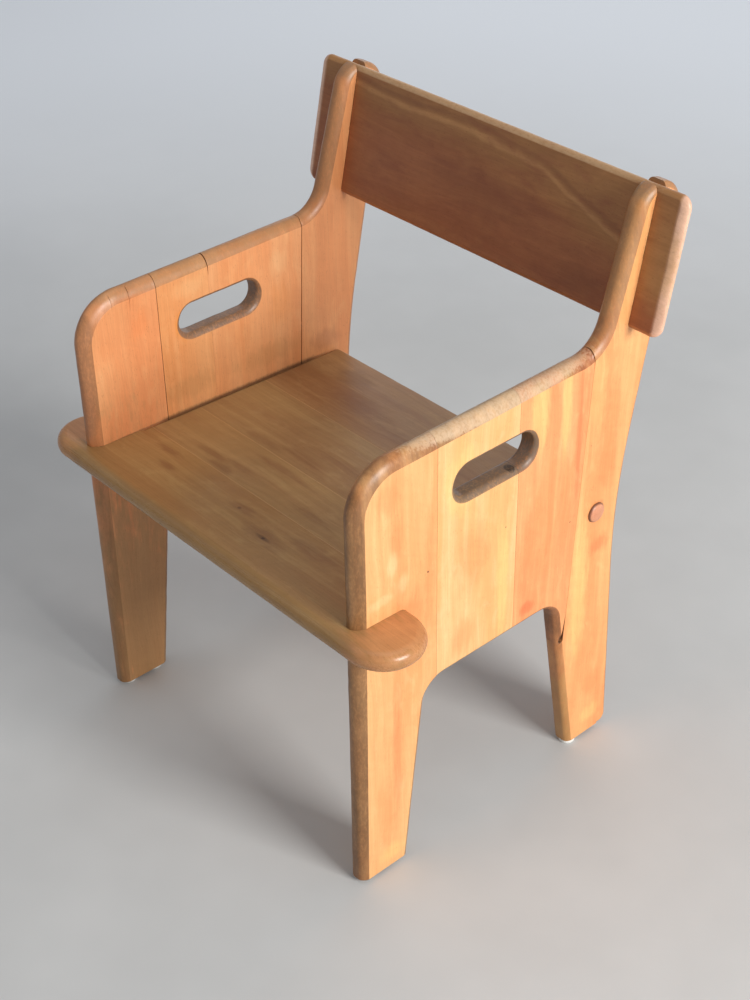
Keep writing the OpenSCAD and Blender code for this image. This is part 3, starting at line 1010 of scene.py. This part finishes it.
# Spots: u, v, radii along u and v, strength, colour, and radius in x if it isn't the usual one
SIDE_SPOTS = {
    "stave_right_1": [
        (28.5, 337, 12, 16, 0.45, ORANGE), (37, 300, 7, 18, 0.45, ORANGE),
        (67, 262, 5, 70, 0.5, ORANGE), (52, 226, 13, 26, 0.6, ORANGE),
        (33, 281.6, 6, 12, 0.5, PALE), (42.7, 262, 5, 9, 0.4, PALE), (22, 256, 13, 5, 0.5, PALE),
        (36, 110, 6, 80, 0.28, RED), (24, 60, 9, 34, 0.4, ORANGE), (30, 14, 14, 9, 0.5, YELLOW)],
    "stave_right_2": [
        (109.5, 250, 18, 32, 0.45, ORANGE), (139, 215, 7, 60, 0.6, YELLOW),
        (96, 320, 20, 34, 0.5, YELLOW), (100, 183, 15, 18, 0.45, ORANGE)],
    "stave_right_3": [
        (166, 173, 8, 7, 0.75, RED), (172, 345, 10, 46, 0.6, YELLOW),
        (199, 340, 6, 60, 0.6, YELLOW), (214, 300, 3.5, 60, 0.5, RED),
        (203, 250, 7, 50, 0.4, ORANGE), (178, 230, 24, 50, 0.5, ORANGE),
        (188, 268, 22, 36, 0.4, ORANGE)],
    "stave_right_4": [
        (244, 193, 13, 11, 0.85, rgb(234, 134, 80)), (246, 260, 11, 22, 0.6, ORANGE),
        (250, 300, 12, 40, 0.45, ORANGE), (247, 54, 14, 14, 0.5, ORANGE),
        (232, 84, 8, 26, 0.3, ORANGE), (224, 160, 11, 80, 0.6, YELLOW),
        (246, 20, 14, 10, 0.5, YELLOW), (232, 330, 10, 40, 0.2, YELLOW)],
    "stave_left_1": [
        (20, 290, 14, 30, 0.12, PALE), (30, 338, 34, 26, 0.25, rgb(216, 142, 92)),
        # painted shade: the second spot below darkens the lower leg, which lies in the right side's
        # shadow
        (52, 330, 10, 14, 0.4, ORANGE), (30, 50, 70, 200, 0.85, rgb(174, 134, 88), 40)],
    "stave_left_2": [
        (92, 315, 8, 16, 0.75, rgb(226, 140, 62)), (100, 345, 18, 10, 0.2, PALE),
        # painted shade and dirt: the last spot below is darker and olive, just above the seat
        (95, 258, 34, 12, 0.35, rgb(188, 134, 82))],
    "stave_left_3": [
        # painted shade and dirt: the first spot below is darker and olive, just above the seat
        (175, 256, 40, 12, 0.35, rgb(186, 132, 80)), (190, 335, 12, 12, 0.2, PALE),
        (190, 300, 14, 24, 0.35, rgb(226, 140, 70))],
    # painted shade: a darker spot above the seat's rear corner
    "stave_left_4": [(236, 246, 20, 12, 0.4, rgb(176, 112, 72))]}

# Painted shade and dirt in the gap where the left side meets the seat
SEAT_TOP = (in_mm(seat_place(0, 0, SEAT_T / 2)), (0, SEAT_TILT.sin, SEAT_TILT.cos))
first, _, third, _ = JOINTS["left"]
SEAM_MIDDLE = (-INNER, (first + third) / 2 - FRONT, SEAT_H - 3)
SEAM_LENGTH = (third - first) / 1.7
LEFT_SEAMS = [(*SEAT_TOP, 3.6, 0.55, SEAM_MIDDLE, (3, SEAM_LENGTH, 30)),
              (*SEAT_TOP, 1.4, 0.4, (-INNER, 128 - FRONT, SEAT_H - 3), (3, 116, 30))]
SEAT_SEAMS = [((-SEAT_EDGE, 0, 0), (1, 0, 0), 2.6, 0.45, SEAM_MIDDLE, (20, SEAM_LENGTH, 30))]


def on_side(x, u, v):
    return x, u - FRONT, v + FEET


def side_spot(x, u, v, radius_u, radius_v, strength, colour, radius_x=6):
    return on_side(x, u, v), (radius_x, radius_u, radius_v), strength, colour


def side_soil_and_painted_light(tag, x):
    """Dirt on a side's edges: around the hole, on the post, and more on each side; on the right also
    a painted sheen on the arm's top and painted shade at the top of the arch.
    """
    arm = ARM + FEET + 2
    soil_and_painted_light = [((x, HOLE_U - FRONT, HOLE_V + FEET - 1), (30, HOLE_L / 2 + 20, HOLE_H / 2 + 12),
             0.95 if tag == "right" else 0.85, rgb(116, 94, 76)),
            ((x, 92, 432), (30, 32, 64), 0.5, rgb(150, 112, 76)),
            ((x, 142, 476), (30, 26, 15), 0.6, rgb(148, 118, 88))]
    if tag == "right":
        return soil_and_painted_light + [
            ((OUTER - 5, 147.5 - FRONT, HOLE_V + FEET - 13), (5, 4, 4), 0.9, rgb(58, 46, 38)),
            ((x, -FRONT, 190), (30, 16, 215), 0.42, rgb(92, 68, 46)),
            # painted sheen: the pale tint on the arm's top edge stands in for light
            ((x, 136 - FRONT, arm), (30, 96, 13), 0.5, rgb(236, 210, 176)),
            # painted shade on the rounded corner at the top of the arch
            ((x, 203 - FRONT, 150), (30, 20, 26), 0.5, rgb(112, 76, 48)),
            ((x, 226 - FRONT, 56), (30, 18, 66), 0.5, rgb(184, 142, 84))]
    return soil_and_painted_light + [((x, 110 - FRONT, arm), (30, 130, 13), 0.5, rgb(166, 128, 88)),
                   ((x, -FRONT, 320), (30, 14, 76), 0.5, rgb(128, 92, 64))]


def side_material(index, name):
    *colours, grime_and_sheen_amount = SIDE_WOODS[name]
    tag, sign = SIDES[0] if "right" in name else SIDES[1]
    marks = [(on_side(x, u, v), radius, strength, DARK)
             for x, u, v, radius, strength in SIDE_MARKS.get(name, ())]
    if name.endswith("4"):   # shade around the peg's head
        marks.append((in_mm(seat_place(sign * OUTER, PEG_Y, 0)), 10.4, 0.55, PEG_SHADE))
    return wood(name + "_wood", *[rgb(*c) for c in colours], grime_and_sheen=(0.36, 0.325, 0.29),
                grime_and_sheen_amount=grime_and_sheen_amount, seed=index + 1.3, figure=0.8 if sign > 0 else 0.6,
                spots=[side_spot(FACE_X[tag], *row) for row in SIDE_SPOTS[name]],
                soil_and_painted_light=side_soil_and_painted_light(tag, sign * MIDDLE), marks=marks,
                seams=LEFT_SEAMS if tag == "left" else ())


# ---------------------------------------------------------------- wood of the seat
BROWN = rgb(124, 76, 48)

# base, warm and pale colour
SEAT_WOODS = {
    "seat_plank_front": ((172, 132, 81), (164, 120, 72), (186, 150, 96)),
    "seat_plank_2": ((172, 135, 86), (162, 121, 77), (186, 150, 99)),
    "seat_plank_3": ((172, 137, 89), (162, 123, 80), (184, 151, 102)),
    "seat_plank_rear": ((166, 126, 82), (156, 112, 71), (180, 142, 93))}

# Spots: x, v, radii along x and v, strength, and colour if it isn't brown
SEAT_SPOTS = {
    "seat_plank_front": [
        (-105, 43.5, 18, 4, 0.45), (-91, 29, 12, 5, 0.45), (32, 24, 26, 9, 0.4),
        (33.5, 23.3, 9, 2.6, 0.6, rgb(82, 50, 30)), (-8, 36, 16, 6, 0.4), (70, 40, 30, 8, 0.35)],
    "seat_plank_2": [
        (-81, 66, 22, 5, 0.4), (-62, 59, 16, 4.5, 0.4), (-25, 91, 34, 5, 0.3),
        (34, 67, 30, 5, 0.3), (-50, 70, 20, 4, 0.25)],
    "seat_plank_3": [(-69, 107, 24, 5, 0.3), (-28, 114, 26, 5, 0.3), (20, 130, 60, 6, 0.25)],
    "seat_plank_rear": [
        (-60, 200, 40, 14, 0.28), (10, 190, 50, 9, 0.25),
        (-95, 225, 24, 14, 0.4, rgb(120, 84, 52))]}


def on_seat(x, v):
    return in_mm(seat_place(x, v, SEAT_T / 2))


def seat_spot(x, v, radius_x, radius_v, strength, colour=BROWN):
    return on_seat(x, v), (radius_x, radius_v, 6), strength, colour


def seat_material(index, name):
    front = index == 0
    spots, marks = [seat_spot(*row) for row in SEAT_SPOTS[name]], ()
    if front:   # the ears are lighter
        spots = [((sign * (OUTER + 20), 20 - FRONT, SEAT_H), (30, 60, 30), 0.8,
                  rgb(206, 144, 96)) for _, sign in SIDES] + spots
        marks = [(on_seat(-8.3, 34.9), 2.4, 0.6, (0.10, 0.035, 0.02)),
                 (on_seat(33.5, 23.3), 2.1, 0.8, DARK)]
    return wood(name + "_wood", *[rgb(*c) for c in SEAT_WOODS[name]], grime_and_sheen=(0.80, 0.74, 0.66),
                grime_and_sheen_amount=0.65 if front else 0.5, seed=index * 1.7 + 20, along="X",
                figure=0.95, rough=0.37 if front else 0.42, mottles=0.45,
                joint=rgb(222, 178, 122), joint_strength=0.75,
                spots=spots, seams=SEAT_SEAMS, marks=marks)


# ---------------------------------------------------------------- wood of the backrest and pegs
# Height of the growth line in mm is a quartic of x / 100 mm; highest power first
GROWTH_LINE = (1.279, -3.511, -10.232, -5.322, 87.736)


def back_figure(sh, world, colour):
    """A pale growth line with a dark one above it; ochre wood above and redder wood below; a painted
    highlight on both ends.
    """
    at = sh.vec("SUBTRACT", world, in_mm(back_place(0, 0, 0)))
    x = sh.mul(sh.vec("DOT_PRODUCT", at, (1, 0, 0)), 0.01)
    up = sh.vec("DOT_PRODUCT", at, (0, BACK_TILT.sin, BACK_TILT.cos))
    line = sh.mul_add(x, *GROWTH_LINE[:2])
    for factor in GROWTH_LINE[2:]:
        line = sh.mul_add(line, x, factor)
    wobble = sh.swing(sh.noise(world, (45, 30, 26), detail=2), 9.0)
    above = sh.math("ADD", sh.math("SUBTRACT", up, line), wobble)
    between = sh.ramp(sh.math("ABSOLUTE", x), 1.60, 1.42)       # fades before the sides
    colour = sh.tint(colour, sh.ramp(above, -22.0, -2.0), 0.62, rgb(166, 118, 70))
    colour = sh.tint(colour, sh.ramp(above, -6.0, -34.0), 0.55, rgb(158, 92, 60))
    pale = sh.ramp(sh.math("ABSOLUTE", above), 3.4, 0.3)
    colour = sh.tint(colour, sh.mul(pale, between), 0.50, rgb(200, 148, 94))
    dark = sh.math("ABSOLUTE", sh.math("SUBTRACT", above, 6.0))
    colour = sh.tint(colour, sh.mul(sh.ramp(dark, 3.4, 0.5), between), 0.40, rgb(126, 78, 48))
    blots = sh.noise(world, (34, 18, 13), detail=5, rough=0.6, distort=0.4)
    colour = sh.tint(colour, sh.ramp(blots, 0.46, 0.72), 0.5, rgb(140, 80, 52))
    # painted highlight: both ends of the backrest turn pale
    ends = sh.ramp(sh.math("ABSOLUTE", x), 1.795, 1.83)
    return sh.tint(colour, ends, 0.8, rgb(218, 172, 146))


def back_material():
    def spot(u, v, radii, strength, colour):
        return in_mm(back_place(u, v, -4)), radii, strength, colour

    return wood(
        "back_panel_wood", rgb(165, 108, 63), rgb(150, 92, 54), rgb(176, 125, 72),
        # painted sheen: the edge multiplier above 1 makes the rounded edges paler and bluer
        grime_and_sheen=(1.32, 1.42, 1.45), grime_and_sheen_amount=0.9, seed=31.4, along="X", figure=0.95,
        drawn=back_figure,
        spots=[spot(111.8, 17.6, (22, 10, 13), 0.28, rgb(112, 62, 40)),
               spot(6, 50, (70, 10, 34), 0.28, rgb(112, 62, 40)),
               spot(176, 54, (18, 10, 56), 0.45, rgb(182, 134, 82))],
        # painted sheen: the pale tint along the top edge stands in for light
        soil_and_painted_light=[(in_mm(back_place(0, BACK_H, 0)), (170, 16, 9), 0.5, rgb(216, 182, 142))])


def peg_rim(sh, world, colour):
    """Painted shade around the rim of a peg's head."""
    at = sh.vec("SUBTRACT", world, in_mm(seat_place(0, PEG_Y, 0)))
    radius = sh.vec("LENGTH", sh.vec("MULTIPLY", at, (0, 1, 1)))
    return sh.tint(colour, sh.ramp(radius, 6.6, 8.0), 0.8, rgb(92, 58, 40))


def peg_material():
    return wood("peg_wood", rgb(214, 150, 114), rgb(204, 134, 100), rgb(222, 164, 128),
                grime_and_sheen=(0.86, 0.78, 0.72), grime_and_sheen_amount=0.5, seed=44.4, along="X", rough=0.36,
                drawn=peg_rim)


# ---------------------------------------------------------------- plastic, steel, floor
def glide_material():
    """White plastic, with painted shade that greys the glides under the front of the right side."""
    sh = Shader("glide_white")
    world = sh.millimetres()
    patches, specks = sh.noise(world, 4.0), sh.noise(world, 0.8)
    colour = sh.mix(sh.ramp(patches, 0.4, 0.75), rgb(240, 240, 236), rgb(212, 208, 198))
    colour = sh.mix(sh.ramp(specks, 0.6, 0.8, high=0.4), colour, rgb(150, 142, 130))
    # painted shade: grey under the front of the right side
    far = sh.vec("DISTANCE", world, (MIDDLE, 27 - FRONT, 0))
    colour = sh.mix(sh.ramp(far, 60, 40, high=0.85), colour, rgb(128, 124, 116))
    return sh.finish(colour, sh.mul_add(specks, 0.2, 0.35),
                     sh.bump(specks, strength=0.3, distance=0.0001))


def nail_material():
    sh = Shader("nail_steel")
    world = sh.millimetres()
    patches, scratches = sh.noise(world, 2.0), sh.noise(world, (0.3, 0.3, 4.0))
    colour = sh.mix(sh.ramp(patches, 0.5, 0.8), (0.42, 0.42, 0.43), (0.22, 0.15, 0.10))
    return sh.finish(colour, sh.mul_add(scratches, 0.3, 0.25),
                     sh.bump(scratches, strength=0.3, distance=0.00005), {"Metallic": 1.0})


def floor_material():
    """Pale grey, with painted light that makes it lighter and bluer away from the chair."""
    sh = Shader("floor_pale")
    world = sh.metres()
    clouds = sh.noise(world, 1 / 3.0, detail=4, rough=0.6)
    grit = sh.noise(world, 1 / 160.0, rough=0.6)
    colour = sh.mix(sh.ramp(clouds, 0.3, 0.7), rgb(200, 200, 199), rgb(210, 210, 209))
    # painted light: lighter and bluer away from the chair
    colour = sh.mix(sh.ramp(sh.vec("LENGTH", world), 0.45, 1.7), colour, rgb(240, 243, 248))
    return sh.finish(colour, 0.75, sh.bump(grit, strength=0.15, distance=0.0005),
                     {"Specular IOR Level": 0.2})


for index, name in enumerate(SIDE_WOODS):
    dress(made[name], side_material(index, name))
for index, name in enumerate(SEAT_WOODS):
    dress(made[name], seat_material(index, name))
dress(made["back_panel"], back_material())
peg_wood = peg_material()
for tag, _ in SIDES:
    dress(made[f"peg_head_{tag}"], peg_wood)
dress(made["glide_discs"], glide_material())
dress(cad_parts["glide_nails"], nail_material())

# ---------------------------------------------------------------- floor, light, camera (metres)
bm = bmesh.new()
bmesh.ops.create_grid(bm, x_segments=2, y_segments=2, size=40)
floor = to_object("floor", bm)
dress(floor, floor_material())

world = bpy.data.worlds.new("studio")
bpy.context.scene.world = world
world.use_nodes = True
background = world.node_tree.nodes["Background"]
background.inputs[0].default_value = (0.93, 0.96, 1.0, 1)
background.inputs[1].default_value = 0.32


def area_light(name, at, aim, size, power, colour):
    light = bpy.data.lights.new(name, "AREA")
    light.shape = "RECTANGLE"
    light.size, light.size_y = size
    light.energy, light.color = power, colour
    lamp = bpy.data.objects.new(name, light)
    bpy.context.scene.collection.objects.link(lamp)
    lamp.location = at
    lamp.rotation_mode = "QUATERNION"
    lamp.rotation_quaternion = (Vector(aim) - Vector(at)).to_track_quat("-Z", "Y")


area_light("key", at=(2.85, 0.26, 1.38), aim=(0, 0, 0.25), size=(1.3, 1.1), power=92,
           colour=(1.0, 0.98, 0.95))
area_light("fill", at=(-1.2, -1.6, 1.6), aim=(0, 0, 0.25), size=(1.6, 1.6), power=3,
           colour=(0.92, 0.96, 1.0))
area_light("top", at=(0.1, 0.2, 2.4), aim=(0, 0, 0.2), size=(1.8, 1.8), power=7,
           colour=(0.96, 0.98, 1.0))
area_light("wall", at=(-1.6, 2.2, 1.1), aim=(0, 0, 0.2), size=(2.4, 1.6), power=12,
           colour=(0.90, 0.95, 1.0))

lens = bpy.data.cameras.new("camera")
lens.sensor_width, lens.sensor_fit, lens.lens = 36, "AUTO", 62.254
lens.clip_start, lens.clip_end = 0.05, 50
camera = bpy.data.objects.new("camera", lens)
bpy.context.scene.collection.objects.link(camera)
pose = Matrix(((0.66956182, 0.74260837, -0.01482514),      # the camera's right
               (-0.41957305, 0.39462117, 0.81745494),      # its up
               (0.6128992, -0.54111639, 0.57580173)        # and its backward direction
               )).transposed().to_4x4()
pose.translation = (0.836808, -0.724802, 0.979487)
camera.matrix_world = pose
bpy.context.scene.camera = camera
bpy.context.scene.view_settings.view_transform = "Standard"
bpy.context.scene.view_settings.look = "None"
